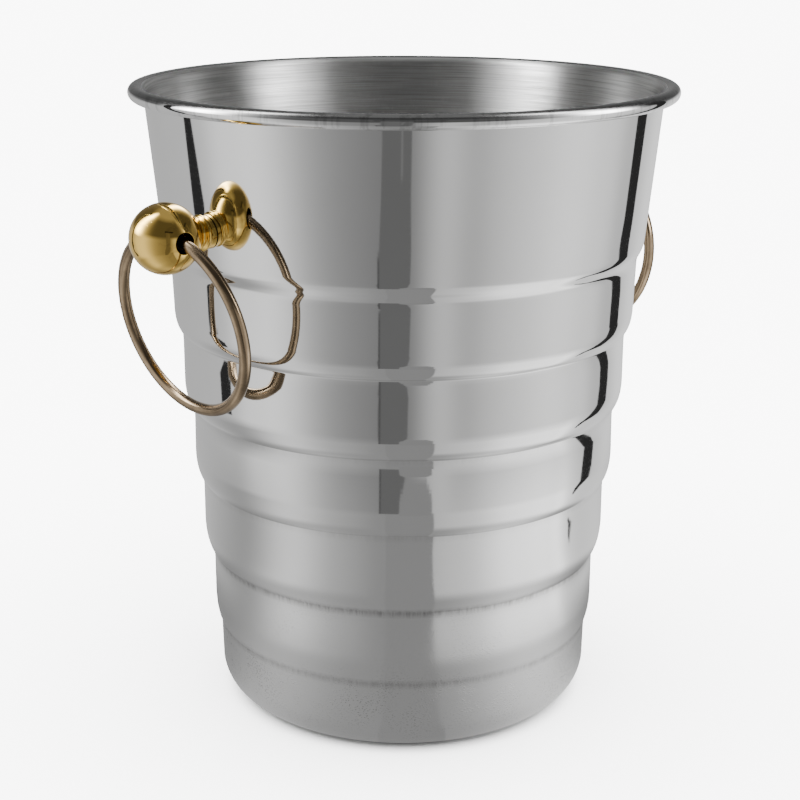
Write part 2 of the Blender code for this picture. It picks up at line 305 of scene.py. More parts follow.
@dataclass(frozen=True)
class Brass:
    """Turned and polished brass, or its dark patina, by wear."""

    name: str
    clean: tuple[float, float, float]
    dull: tuple[float, float, float]
    roughness: float
    patina: float
    turned_lines: float = 0.03

    def material(self) -> bpy.types.Material:
        """Build the node material."""
        d = NodeDesk(self.name)
        cloud = d.noise(95.0, 5.0, 0.65, warp=0.4)
        fleck = d.noise(700.0, 3.0, 0.7)
        dull = d.math("MULTIPLY", d.span(cloud, 0.62 - 0.3 * self.patina, 0.78, 0.0, 1.0),
                      d.span(fleck, 0.25, 0.75, 0.6, 1.1), clamp=True)
        pit = d.math("MULTIPLY", d.span(d.spots(1100.0), 0.0, 0.16, 1.0, 0.0),
                     d.span(d.noise(170.0), 0.55, 0.70))
        tone = d.mix(dull, self.clean, self.dull)
        tone = d.mix(d.math("MULTIPLY", pit, 0.7), tone, (0.05, 0.035, 0.02))
        rough = d.math("ADD", d.span(dull, 0.0, 1.0, self.roughness, self.roughness + 0.16),
                       d.span(fleck, 0.4, 0.8, 0.0, 0.04))
        normal = d.bump(cloud, self.turned_lines, 0.0004)
        normal = d.bump(pit, 0.30, 0.0002, normal)
        return d.finish(base_color=tone, metallic=1.0, roughness=rough, normal=normal)


@dataclass(frozen=True)
class ScrewSteel:
    """Plain turned steel."""

    def material(self) -> bpy.types.Material:
        """Build the node material."""
        d = NodeDesk("screw_steel")
        grain = d.noise(1400.0, 3.0, 0.6)
        stain = d.noise(300.0, 3.0, 0.6)
        tone = d.mix(d.span(stain, 0.45, 0.7), (0.56, 0.56, 0.57), (0.33, 0.31, 0.29))
        rough = d.span(grain, 0.3, 0.7, 0.24, 0.40)
        return d.finish(base_color=tone, metallic=1.0, roughness=rough,
                        normal=d.bump(grain, 0.12, 0.0001))


@dataclass(frozen=True)
class SealRubber:
    """Black rubber with a fine moulded skin."""

    def material(self) -> bpy.types.Material:
        """Build the node material."""
        d = NodeDesk("seal_rubber")
        skin = d.noise(2600.0, 2.0, 0.6)
        dust = d.noise(240.0, 4.0, 0.6)
        tone = d.mix(d.span(dust, 0.45, 0.75), (0.022, 0.022, 0.023), (0.07, 0.068, 0.065))
        return d.finish(base_color=tone, metallic=0.0, roughness=d.span(skin, 0.3, 0.7, 0.62, 0.8),
                        normal=d.bump(skin, 0.2, 0.0001))


# --------------------------------------------------------------------------
# Mesh helpers
# --------------------------------------------------------------------------


def arc(centre: Point, reach: Point, start_deg: float, end_deg: float, count: int) -> list[Point]:
    """Points on an elliptical arc.

    Args:
        centre: Centre as (radius, height).
        reach: Half axes as (radial, upright).
        start_deg: First angle, from +radius towards +height.
        end_deg: Last angle.
        count: Number of steps.

    Returns:
        The points, both ends included.
    """
    angles = np.radians(np.linspace(start_deg, end_deg, count + 1))
    return [(centre[0] + reach[0] * math.cos(a), centre[1] + reach[1] * math.sin(a)) for a in angles]


def cubic(a: Vector, b: Vector, c: Vector, d: Vector, count: int) -> list[Point]:
    """Points on a cubic curve from a to d that heads for b and comes from c."""
    curve = []
    for i in range(count + 1):
        t = i / count
        p = (1 - t) ** 3 * a + 3 * (1 - t) ** 2 * t * b + 3 * (1 - t) * t * t * c + t ** 3 * d
        curve.append((p.x, p.y))
    return curve


def supported(points: list[Point], longest: float = 0.002, margin: float = 0.00025) -> list[Point]:
    """Add a point near each end of every long straight run, to keep its shading flat."""
    result = [points[0]]
    for a, b in zip(points, points[1:]):
        run = Vector((b[0] - a[0], b[1] - a[1]))
        if run.length > longest:
            step = run.normalized() * margin
            result.append((a[0] + step.x, a[1] + step.y))
            result.append((b[0] - step.x, b[1] - step.y))
        result.append(b)
    return result


def rounded(points: list[Point], index: int, radius: float, count: int = 4) -> list[Point]:
    """Replace one corner of a profile by a small curve.

    Args:
        points: The profile.
        index: Which point is the corner.
        radius: How far the curve reaches along each side.
        count: Steps of the curve.

    Returns:
        The profile with the corner replaced.
    """
    corner = Vector(points[index])
    before, after = Vector(points[index - 1]), Vector(points[index + 1])
    start = corner + (before - corner).normalized() * min(radius, (before - corner).length * 0.45)
    end = corner + (after - corner).normalized() * min(radius, (after - corner).length * 0.45)
    curve = []
    for i in range(count + 1):
        t = i / count
        p = (1 - t) ** 2 * start + 2 * (1 - t) * t * corner + t * t * end
        curve.append((p.x, p.y))
    return points[:index] + curve + points[index + 1:]


def lathe(name: str, profile: list[Point], steps: int, zones: list[int] | None = None,
          closed: bool = False) -> bpy.types.Object:
    """Turn a profile about Z into a closed mesh.

    Args:
        name: Name of the object.
        profile: Points as (radius, height), inside of the solid on the same side all along.
        steps: Facets round the axis.
        zones: Material index of each run between points, or None for one material.
        closed: Whether the last point joins the first.

    Returns:
        The new object, smooth shaded.
    """
    angles = np.arange(steps) * (math.tau / steps)
    cos, sin = np.cos(angles), np.sin(angles)
    verts: list[tuple[float, float, float]] = []
    rings: list[list[int]] = []
    for r, z in profile:
        if r < 1e-7:
            rings.append([len(verts)] * steps)
            verts.append((0.0, 0.0, z))
        else:
            rings.append(list(range(len(verts), len(verts) + steps)))
            verts.extend(zip((r * cos).tolist(), (r * sin).tolist(), [z] * steps))
    pairs = list(zip(rings, rings[1:]))
    if closed:
        pairs.append((rings[-1], rings[0]))
    faces, slots = [], []
    for run, (low, high) in enumerate(pairs):
        for i in range(steps):
            j = (i + 1) % steps
            corners = [low[i], low[j], high[j], high[i]]
            face = [v for k, v in enumerate(corners) if v not in corners[:k]]
            if len(face) > 2:
                faces.append(face)
                slots.append(zones[run] if zones else 0)
    mesh = bpy.data.meshes.new(name)
    mesh.from_pydata(verts, [], faces)
    mesh.polygons.foreach_set("material_index", slots)
    face_out(mesh)
    mesh.shade_smooth()
    return link(name, mesh)


def face_out(mesh: bpy.types.Mesh) -> None:
    """Point every face of a closed mesh outwards."""
    bm = bmesh.new()
    bm.from_mesh(mesh)
    bmesh.ops.recalc_face_normals(bm, faces=bm.faces)
    if bm.calc_volume(signed=True) < 0.0:
        bmesh.ops.reverse_faces(bm, faces=bm.faces)
    bm.to_mesh(mesh)
    bm.free()


def link(name: str, mesh: bpy.types.Mesh) -> bpy.types.Object:
    """Put a mesh into the scene as an object at the origin."""
    made = bpy.data.objects.new(name, mesh)
    bpy.context.scene.collection.objects.link(made)
    return made


def plain_mesh(ob: bpy.types.Object) -> None:
    """Bake an object's modifiers into its mesh."""
    graph = bpy.context.evaluated_depsgraph_get()
    baked = bpy.data.meshes.new_from_object(ob.evaluated_get(graph))
    ob.modifiers.clear()
    ob.data = baked


def carve(ob: bpy.types.Object, tool: bpy.types.Object, operation: str = "DIFFERENCE") -> None:
    """Cut a tool out of an object, or keep what they share, and drop the tool."""
    mod = ob.modifiers.new("carve", "BOOLEAN")
    mod.solver = "EXACT"
    mod.operation = operation
    mod.object = tool
    plain_mesh(ob)
    bpy.data.objects.remove(tool, do_unlink=True)


def dress(ob: bpy.types.Object, *materials: bpy.types.Material) -> None:
    """Give an object its materials in slot order."""
    if ob.data.materials:
        ob.data.materials.clear()
    for material in materials:
        ob.data.materials.append(material)


# --------------------------------------------------------------------------
# The bucket
# --------------------------------------------------------------------------


@dataclass(frozen=True)
class Step:
    """One pressed step: its crease, how far it draws in, and the fillet above the crease."""

    crease_z: float
    inset: float
    fillet: float
    turn_deg: float


@dataclass
class BucketBody:
    """The one-piece sheet body with its rolled rim."""

    rim_radius: float = 0.1050
    height: float = 0.24755
    wall: float = 0.0010
    roll: float = 0.00275
    roll_gap: float = 0.0006
    taper_deg: float = 5.57
    shoulder_top: float = 0.18907
    shoulder_in: float = 0.00279
    shoulder_drop: float = 0.00986
    shoulder_pull: float = 0.0052
    steps: tuple[Step, ...] = (
        Step(0.15293, 0.00368, 0.00879, 49.6),
        Step(0.12222, 0.00343, 0.00972, 49.7),
        Step(0.09218, 0.00277, 0.01155, 41.8),
        Step(0.06082, 0.00343, 0.01684, 37.4),
        Step(0.03064, 0.00219, 0.01927, 27.5),
    )
    cove: float = 0.00038            # how far a panel draws in just under its crease
    cove_drop: float = 0.0060        # over this height
    ease: float = 0.0028             # how early the fillet starts to turn
    corner: Point = (0.0139, 0.0134)
    foot_taper: float = 0.00024
    recess_radius: float = 0.0500
    recess_depth: float = 0.0012
    recess_slope: float = 0.0040
    turns: int = 256
    piece: bpy.types.Object | None = field(default=None, init=False)

    def roll_z(self) -> float:
        """Height of the middle of the rolled rim."""
        return self.height - self.roll

    def wall_top(self) -> float:
        """Outside radius of the wall at the roll."""
        return self.rim_radius - 2.0 * self.roll - 0.0002

    def band_radius(self, z: float) -> float:
        """Outside radius of the plain band at height z."""
        return self.wall_top() - (self.roll_z() - z) * math.tan(math.radians(self.taper_deg))

    def shoulder(self) -> list[Point]:
        """Soft curve under the plain band."""
        slope = math.radians(self.taper_deg)
        a = Vector((self.band_radius(self.shoulder_top), self.shoulder_top))
        d = Vector((a.x - self.shoulder_in, self.shoulder_top - self.shoulder_drop))
        b = a - self.shoulder_pull * Vector((math.sin(slope), math.cos(slope)))
        c = d + Vector((0.0, self.shoulder_pull))
        return cubic(a, b, c, d, 20)

    def fillet(self, radius: float, step: Step) -> list[Point]:
        """Convex curve from a panel down to the crease under it, with a slow start.

        Args:
            radius: Outside radius of the panel.
            step: The step that ends the panel.

        Returns:
            The curve, from the panel to the crease.
        """
        turn = math.radians(step.turn_deg)
        crease = radius - step.inset
        centre = (crease - step.fillet * math.cos(turn), step.crease_z + step.fillet * math.sin(turn))
        rise = step.fillet * math.tan(turn / 2.0)
        a = Vector((centre[0] + step.fillet, centre[1] + self.ease))
        d = Vector((crease + self.cove, step.crease_z))
        b = a - Vector((0.0, 0.70 * rise + 0.62 * self.ease))
        c = d + 0.62 * rise * Vector((math.sin(turn), math.cos(turn)))
        return cubic(a, b, c, d, 18)

    def outside(self) -> list[Point]:
        """Outside of the sheet from the top of the wall to the middle of the base."""
        points = [(self.wall_top(), self.roll_z())] + self.shoulder()
        radius = points[-1][0]
        creases = []
        for step in self.steps:
            points += self.fillet(radius, step)
            creases.append(points[-1])
            radius -= step.inset
            points += [(radius + self.cove * (1.0 - t) ** 2, step.crease_z - self.cove_drop * t)
                       for t in (0.1, 0.25, 0.4, 0.55, 0.7, 0.85, 1.0)]
        foot = radius - self.foot_taper
        points += arc((foot - self.corner[0], self.corner[1]), self.corner, 0.0, -90.0, 26)
        points += [(self.recess_radius + self.recess_slope, 0.0),
                   (self.recess_radius, self.recess_depth)]
        for crease in creases:
            points = rounded(points, points.index(crease), 0.0007)
        points = rounded(points, len(points) - 2, 0.0012)
        return supported(points)

    def inside(self, outside: list[Point]) -> list[Point]:
        """Offset the outside by the sheet's thickness."""
        result = []
        for i, point in enumerate(outside):
            normals = []
            for a, b in ((outside[max(i - 1, 0)], point), (point, outside[min(i + 1, len(outside) - 1)])):
                run = Vector((b[0] - a[0], b[1] - a[1]))
                if run.length > 1e-9:
                    normals.append(Vector((run.y, -run.x)).normalized())
            mitre = sum(normals, Vector((0.0, 0.0))).normalized()
            reach = self.wall / max(mitre.dot(normals[0]), 0.5)
            result.append((point[0] + mitre.x * reach, point[1] + mitre.y * reach))
        return result

    def section(self) -> tuple[list[Point], list[int]]:
        """The closed section, from the axis inside to the axis under the base.

        Returns:
            The points, and the finish of each run between them.
        """
        outside = self.outside()
        inside = self.inside(outside)
        centre = (self.rim_radius - self.roll, self.roll_z())
        crown = arc(centre, (centre[0] - inside[0][0], self.roll), 180.0, 90.0, 12)[1:]
        back = math.degrees(math.acos((self.roll - self.roll_gap) / self.roll))
        tube, bore = (self.roll, self.roll), (self.roll - self.wall, self.roll - self.wall)
        roll_out = arc(centre, tube, 90.0, 0.0, 10)[1:] + arc(centre, tube, 0.0, back - 180.0, 14)[1:]
        roll_in = arc(centre, bore, back - 180.0, 90.0, 16)
        under = arc(centre, (centre[0] - outside[0][0], bore[1]), 90.0, 180.0, 8)[1:-1]
        inner = [(0.0, self.wall + self.recess_depth)] + inside[::-1]
        outer = crown + roll_out + roll_in + under + outside + [(0.0, self.recess_depth)]
        zones = [Zone.INSIDE.value] * (len(inner) + 6) + [Zone.OUTSIDE.value] * (len(outer) - 7)
        return inner + outer, zones

    def build(self) -> bpy.types.Object:
        """Turn the section into the body."""
        points, zones = self.section()
        self.piece = lathe("bucket", points, self.turns, zones)
        return self.piece

    def dress(self, outside: bpy.types.Material, inside: bpy.types.Material) -> None:
        """Finish the body and stand it in for its CAD node."""
        dress(self.piece, outside, inside)
        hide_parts("bucket_body")
        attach(self.piece, "bucket")


# --------------------------------------------------------------------------
# Knobs and rings
# --------------------------------------------------------------------------


@dataclass(frozen=True)
class KnobSizes:
    """Sizes shared by everything that is screwed to the wall of one side."""

    drop: float = 0.04635
    standoff: float = 0.0180
    ball: float = 0.0127
    flat: float = 0.0115
    collar: float = 0.0066
    waist: float = 0.0056
    bead: float = 0.0062
    washer: float = 0.0060
    washer_thick: float = 0.0016
    screw: float = 0.0020
    screw_end: float = 0.0062
    head: float = 0.0040
    head_height: float = 0.0024
    slot_width: float = 0.0010
    slot_depth: float = 0.0011
    seal: float = 0.0070
    seal_thick: float = 0.0018
    plate: float = 0.0058
    plate_thick: float = 0.0010
    gap: float = 0.0003
    hole_lip: float = 0.0006


@dataclass(frozen=True)
class RingSizes:
    """Sizes of a carrying ring."""

    radius: float = 0.0333
    wire: float = 0.0022
    clearance: float = 0.0003

    def sag(self, ball: float) -> float:
        """How far the wire bends away across the ball."""
        return self.radius - math.sqrt(self.radius ** 2 - ball ** 2)

    def hole(self, ball: float) -> float:
        """Radius of the cross hole that lets the bent wire through."""
        return self.wire + self.sag(ball) / 2.0 + self.clearance

    def drop(self, ball: float) -> float:
        """Ring centre below the cross hole's axis."""
        return self.radius - self.sag(ball) / 2.0


@dataclass
class Knob:
    """Ball, collar, washers and screw of one side."""

    side: Side
    bucket: BucketBody
    ring: RingSizes
    sizes: KnobSizes = field(default_factory=KnobSizes)
    turns: int = 96
    pieces: dict[str, bpy.types.Object] = field(default_factory=dict, init=False)

    def height(self) -> float:
        """Height of the knob's axis."""
        return self.bucket.height - self.sizes.drop

    def face(self) -> float:
        """Outside of the wall at the knob, from the bucket's axis."""
        return self.bucket.band_radius(self.height())

    def ball_x(self) -> float:
        """Ball centre from the bucket's axis."""
        return self.face() + self.sizes.standoff

    def lay(self, ob: bpy.types.Object) -> bpy.types.Object:
        """Lay a piece turned about Z along the knob's axis, in its mesh."""
        turn = Matrix.Rotation(math.radians(90.0), 4, "Y")
        if self.side is Side.LEFT:
            turn = Matrix.Rotation(math.pi, 4, "Z") @ turn
        ob.data.transform(Matrix.Translation((0.0, 0.0, self.height())) @ turn)
        return ob

    def band_tool(self, shift: float) -> bpy.types.Object:
        """The band's cone as a solid, moved out from the wall's outside by shift."""
        low, high = self.height() - 0.015, self.height() + 0.015
        out = shift / math.cos(math.radians(self.bucket.taper_deg))
        profile = [(0.0, low), (self.bucket.band_radius(low) + out, low),
                   (self.bucket.band_radius(high) + out, high), (0.0, high)]
        return lathe("tool", profile, self.bucket.turns)

    def add(self, part: str, ob: bpy.types.Object) -> None:
        """Keep a finished mesh under its name."""
        ob.name = f"{self.side.label}_{part}_fine"
        self.pieces[part] = ob

    def build_ball(self) -> None:
        """Turned ball with its cross hole and tapped bore."""
        s, x = self.sizes, self.ball_x()
        bore = s.screw + s.gap
        end = s.screw_end - 0.001
        flat_deg = math.degrees(math.acos(s.flat / s.ball))
        flat_r = s.ball * math.sin(math.radians(flat_deg))
        profile = [(0.0, x - end), (bore, x - end), (bore, x - s.flat), (flat_r, x - s.flat)]
        profile += arc((0.0, x), (s.ball, s.ball), -90.0 + flat_deg, 90.0, 72)[1:]
        profile[-1] = (0.0, x + s.ball)
        ball = self.lay(lathe("ball", profile, 128))
        hole = self.ring.hole(s.ball)
        half = math.sqrt(s.ball ** 2 - hole ** 2)
        lip = s.hole_lip
        mouth = [(0.0, -0.02), (hole + 0.004, -0.02), (hole + 0.004, -half - lip * 0.2)]
        mouth += arc((hole + lip, -half + 1.4 * lip), (lip, 1.4 * lip), -90.0, -180.0, 8)
        tool = lathe("tool", mouth + [(r, -h) for r, h in mouth[::-1]], 96)
        tool.data.transform(Matrix.Translation((self.side.value * x, 0.0, self.height()))
                            @ Matrix.Rotation(math.radians(90.0), 4, "X"))
        carve(ball, tool)
        self.shade_ball(ball, Vector((self.side.value * x, 0.0, self.height())), s.ball, hole, half)
        self.add("ball", ball)

    def shade_ball(self, ball: bpy.types.Object, centre: Vector, radius: float, hole: float,
                   half: float) -> None:
        """Give the drilled ball exact normals, blended round each mouth of the hole.

        Args:
            ball: The drilled ball.
            centre: Centre of the ball.
            radius: Radius of the ball.
            hole: Radius of the cross hole.
            half: Half the length of the hole's straight wall.
        """
        mesh = ball.data
        mesh.shade_smooth()
        lip = self.sizes.hole_lip
        normals = []
        for polygon in mesh.polygons:
            middle = polygon.center - centre
            if math.hypot(middle.x, middle.z) < hole + 0.2 * lip and abs(middle.y) < half:
                # Faces inside the cross hole take the second slot, a dark brass painted there as painted
                # shade.
                polygon.material_index = 1
            on_ball = abs(middle.length - radius) < 0.00012
            across = math.hypot(middle.x, middle.z)
            in_hole = not on_ball and across < hole + 2 * lip and abs(middle.y) < half + 2 * lip
            for corner in polygon.vertices:
                arm = mesh.vertices[corner].co - centre
                if on_ball:
                    normals.append(arm.normalized())
                elif in_hole and (Vector((middle.x, 0, middle.z)).normalized()
                                  .dot(polygon.normal) < -0.05 or abs(polygon.normal.y) > 0.1):
                    inward = Vector((-arm.x, 0.0, -arm.z)).normalized()
                    t = (abs(arm.y) - (half - 1.4 * lip)) / (1.6 * lip)
                    t = min(max(t, 0.0), 1.0)
                    outward = arm.normalized()
                    normals.append((inward * (1 - t) + outward * t).normalized())
                else:
                    normals.append(polygon.normal.copy())
        mesh.normals_split_custom_set([tuple(n) for n in normals])

    def build_collar(self) -> None:
        """Turned collar with a bead, a groove and a flared lip."""
        s = self.sizes
        bore = s.screw + s.gap
        start = self.ball_x() - s.flat - s.gap
        lip = self.face() + s.washer_thick + 2 * s.gap
        length = start - lip

        def at(share: float) -> float:
            return start - share * length

        profile = [(bore, at(0.0)), (s.waist - 0.0004, at(0.0))]
        profile += arc((s.bead - 0.0009, at(0.20)), (0.0009, 0.18 * length), 60.0, -60.0, 14)
        profile += [(s.waist + 0.0001, at(0.44)), (s.waist, at(0.47)), (s.waist + 0.0002, at(0.50))]
        profile += arc((s.collar - 0.0009, at(0.76)), (0.0009, 0.20 * length), 70.0, -60.0, 16)
        profile += [(s.collar - 0.0005, at(0.97)), (s.collar - 0.0008, at(1.0)), (bore, at(1.0))]
        collar = self.lay(lathe("collar", profile, self.turns, closed=True))
        collar.data.set_sharp_from_angle(angle=math.radians(42.0))
        self.add("collar", collar)

    def washer(self, part: str, outer: float, near: float, far: float,
               edge: float) -> bpy.types.Object:
        """A plain washer with softened edges, not yet shaped to the wall.

        Args:
            part: Name of the piece.
            outer: Outside radius.
            near: Face towards the ball, from the bucket's axis.
            far: Face towards the axis.
            edge: Softening of the outer edges.

        Returns:
            The washer.
        """
        bore = self.sizes.screw + self.sizes.gap
        profile = [(bore, near), (outer - edge, near), (outer, near - edge), (outer, far + edge),
                   (outer - edge, far), (bore, far)]
        made = self.lay(lathe(part, profile, self.turns, closed=True))
        made.data.set_sharp_from_angle(angle=math.radians(35.0))
        return made

    def build_fixings(self) -> None:
        """Shaped washer outside; seal, plate washer and screw inside."""
        s, bucket = self.sizes, self.bucket
        face = self.face()
        saddle = self.washer("saddle", s.washer, face + s.washer_thick + s.gap, face - 0.004, 0.0002)
        carve(saddle, self.band_tool(s.gap))
        self.add("saddle_washer", saddle)
        inner = face - bucket.wall / math.cos(math.radians(bucket.taper_deg))
        seat = inner - s.seal_thick
        seal = self.washer("seal", s.seal, inner + 0.003, seat, 0.0003)
        carve(seal, self.band_tool(-bucket.wall - s.gap), "INTERSECT")
        self.add("seal", seal)
        self.add("plate_washer", self.washer("plate", s.plate, seat - s.gap,
                                             seat - s.gap - s.plate_thick, 0.00015))
        for part in ("saddle_washer", "seal"):
            mesh = self.pieces[part].data
            mesh.shade_smooth()
            mesh.set_sharp_from_angle(angle=math.radians(35.0))
        self.build_screw(seat - 2 * s.gap - s.plate_thick)

    def build_screw(self, under: float) -> None:
        """Slotted screw whose head bears on the plate washer.

        Args:
            under: Underside of the head, from the bucket's axis.
        """
        s, x = self.sizes, self.ball_x()
        top = under - s.head_height
        profile = [(0.0, x - s.screw_end), (s.screw - 0.0004, x - s.screw_end),
                   (s.screw, x - s.screw_end - 0.0004), (s.screw, under), (s.head - 0.0001, under),
                   (s.head, under - 0.0001), (s.head, top + 0.0012)]
        profile += arc((0.0, top + 0.0012), (s.head, 0.0012), 0.0, -90.0, 16)[1:]
        profile[-1] = (0.0, top)
        screw = self.lay(lathe("screw", supported(profile), self.turns))
        slot = bmesh.new()
        bmesh.ops.create_cube(slot, size=1.0)
        bmesh.ops.scale(slot, vec=(2 * s.slot_depth, 3 * s.head, s.slot_width), verts=slot.verts)
        bmesh.ops.translate(slot, vec=(self.side.value * top, 0.0, self.height()), verts=slot.verts)
        mesh = bpy.data.meshes.new("tool")
        slot.to_mesh(mesh)
        slot.free()
        carve(screw, link("tool", mesh))
        screw.data.shade_smooth()
        screw.data.set_sharp_from_angle(angle=math.radians(32.0))
        self.add("screw", screw)

    def build(self) -> None:
        """Build every piece of the knob."""
        self.build_ball()
        self.build_collar()
        self.build_fixings()

    def dress(self, brass: bpy.types.Material, worn: bpy.types.Material,
              steel: bpy.types.Material, rubber: bpy.types.Material) -> None:
        """Finish the pieces and stand them in for their CAD nodes."""
        finishes = {"ball": (brass, "polished_brass"), "collar": (brass, "polished_brass"),
                    "saddle_washer": (brass, "polished_brass"), "seal": (rubber, "seal_rubber"),
                    "plate_washer": (steel, "screw_steel"), "screw": (steel, "screw_steel")}
        for part, ob in self.pieces.items():
            material, slot = finishes[part]
            # The ball's second slot, the inside of its cross hole, gets the dark brass of painted shade.
            dress(ob, material, *([worn] if part == "ball" else []))
            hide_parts(f"{self.side.label}_{part}")
            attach(ob, "bucket")


@dataclass
class CarryRing:
    """A closed wire ring that hangs through one ball."""

    knob: Knob
    lean_deg: float
    turn_deg: float
    sizes: RingSizes
    piece: bpy.types.Object | None = field(default=None, init=False)

    def tree(self) -> bpy.types.NodeTree:
        """Geometry Nodes: sweep a round wire along a circle."""
        tree = bpy.data.node_groups.new("carry_ring", "GeometryNodeTree")
        face = tree.interface
        for name in ("Ring Radius", "Wire Radius"):
            face.new_socket(name, in_out="INPUT", socket_type="NodeSocketFloat")
        face.new_socket("Finish", in_out="INPUT", socket_type="NodeSocketMaterial")
        face.new_socket("Geometry", in_out="OUTPUT", socket_type="NodeSocketGeometry")
        nodes, links = tree.nodes, tree.links
        given, result = nodes.new("NodeGroupInput"), nodes.new("NodeGroupOutput")
        path = nodes.new("GeometryNodeCurvePrimitiveCircle")
        wire = nodes.new("GeometryNodeCurvePrimitiveCircle")
        path.inputs["Resolution"].default_value = 288
        wire.inputs["Resolution"].default_value = 40
        sweep = nodes.new("GeometryNodeCurveToMesh")
        smooth = nodes.new("GeometryNodeSetShadeSmooth")
        real = nodes.new("GeometryNodeRealizeInstances")
        paint = nodes.new("GeometryNodeSetMaterial")
        links.new(given.outputs["Ring Radius"], path.inputs["Radius"])
        links.new(given.outputs["Wire Radius"], wire.inputs["Radius"])
        links.new(path.outputs["Curve"], sweep.inputs["Curve"])
        links.new(wire.outputs["Curve"], sweep.inputs["Profile Curve"])
        links.new(sweep.outputs["Mesh"], smooth.inputs["Geometry"])
        links.new(smooth.outputs["Geometry"], real.inputs["Geometry"])
        links.new(real.outputs["Geometry"], paint.inputs["Geometry"])
        links.new(given.outputs["Finish"], paint.inputs["Material"])
        links.new(paint.outputs["Geometry"], result.inputs["Geometry"])
        return tree

    def build(self, finish: bpy.types.Material) -> None:
        """Sweep the wire, then put the ring through its ball.

        Args:
            finish: Material that the tree sets on the wire.
        """
        self.piece = link(f"{self.knob.side.label}_ring_fine", bpy.data.meshes.new("ring"))
        mod = self.piece.modifiers.new("ring", "NODES")
        mod.node_group = self.tree()
        values = {"Ring Radius": self.sizes.radius, "Wire Radius": self.sizes.wire, "Finish": finish}
        for item in mod.node_group.interface.items_tree:
            if item.in_out == "INPUT":
                mod[item.identifier] = values[item.name]
        plain_mesh(self.piece)
        sign = self.knob.side.value
        ball = self.knob.sizes.ball
        hang = (Matrix.Translation((0.0, 0.0, -self.sizes.drop(ball)))
                @ Matrix.Rotation(math.radians(90.0), 4, "Y"))
        lean = (Matrix.Rotation(math.radians(sign * self.lean_deg), 4, "Y")
                @ Matrix.Rotation(math.radians(self.turn_deg), 4, "Z"))
        place = Matrix.Translation((sign * self.knob.ball_x(), 0.0, self.knob.height()))
        self.piece.data.transform(place @ lean @ hang)
        face_out(self.piece.data)

    def dress(self, finish: bpy.types.Material) -> None:
        """Finish the ring and stand it in for its CAD node."""
        label = self.knob.side.label
        dress(self.piece, finish)
        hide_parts(f"{label}_ring")
        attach(self.piece, f"{label}_ring")


# --------------------------------------------------------------------------
# Studio
# --------------------------------------------------------------------------


@dataclass(frozen=True)
class Camera:
    """The viewpoint."""

    bearing_deg: float = 227.1       # from +X round Z
    distance: float = 0.6481
    height: float = 0.3161
    pitch_deg: float = 16.87
    yaw_deg: float = 0.12
    roll_deg: float = 0.10
    lens: float = 75.21

    def build(self) -> None:
        """Create the camera and make it the scene's."""
        data = bpy.data.cameras.new("camera")
        data.sensor_width = 36.0
        data.lens = self.lens
        data.clip_start, data.clip_end = 0.01, 60.0
        made = bpy.data.objects.new("camera", data)
        bpy.context.scene.collection.objects.link(made)
        bearing = math.radians(self.bearing_deg)
        turn = (Matrix.Rotation(bearing + math.radians(90.0 + self.yaw_deg), 4, "Z")
                @ Matrix.Rotation(math.radians(90.0 - self.pitch_deg), 4, "X")
                @ Matrix.Rotation(math.radians(self.roll_deg), 4, "Z"))
        spot = Matrix.Translation((self.distance * math.cos(bearing),
                                   self.distance * math.sin(bearing), self.height))
        made.matrix_world = spot @ turn
        bpy.context.scene.camera = made


@dataclass(frozen=True)
class Gap:
    """An upright gap between two cloths of the tent.

    Each edge is (height, left bearing, right bearing); heights below zero run inwards
    over the floor.
    """

    level: float
    edges: tuple[tuple[float, float, float], ...]
    blur: float = 0.35               # width of the soft edge, in degrees

    def cover(self, heights: np.ndarray, bearing: float) -> np.ndarray:
        """How much of the gap shows along one upright of the tent, from 0 to 1.

        Args:
            heights: Heights on the tent, in metres.
            bearing: Degrees to the right of the camera.

        Returns:
            One share for each height.
        """
        rows, left, right = np.array(self.edges).T
        inside = np.minimum(bearing - np.interp(heights, rows, left),
                            np.interp(heights, rows, right) - bearing)
        share = np.clip(inside / self.blur + 0.5, 0.0, 1.0)
        return np.where((heights >= rows[0]) & (heights <= rows[-1]), share, 0.0)


@dataclass(frozen=True)
class Lamp:
    """A soft lamp behind the cloth."""

    bearing: float                   # degrees to the right of the camera
    spread: float                    # degrees
    level: float

    def at(self, bearing: float) -> float:
        """Brightness that the lamp gives the cloth at a bearing."""
        away = (bearing - self.bearing + 180.0) % 360.0 - 180.0
        return self.level * math.exp(-(away / self.spread) ** 2)


@dataclass(frozen=True)
class Cloth:
    """One belt of the tent: its plain brightness and the lamps behind it."""

    base: float
    lamps: tuple[Lamp, ...]

    def at(self, bearing: float) -> float:
        """Brightness of the belt at a bearing."""
        return self.base + sum(lamp.at(bearing) for lamp in self.lamps)


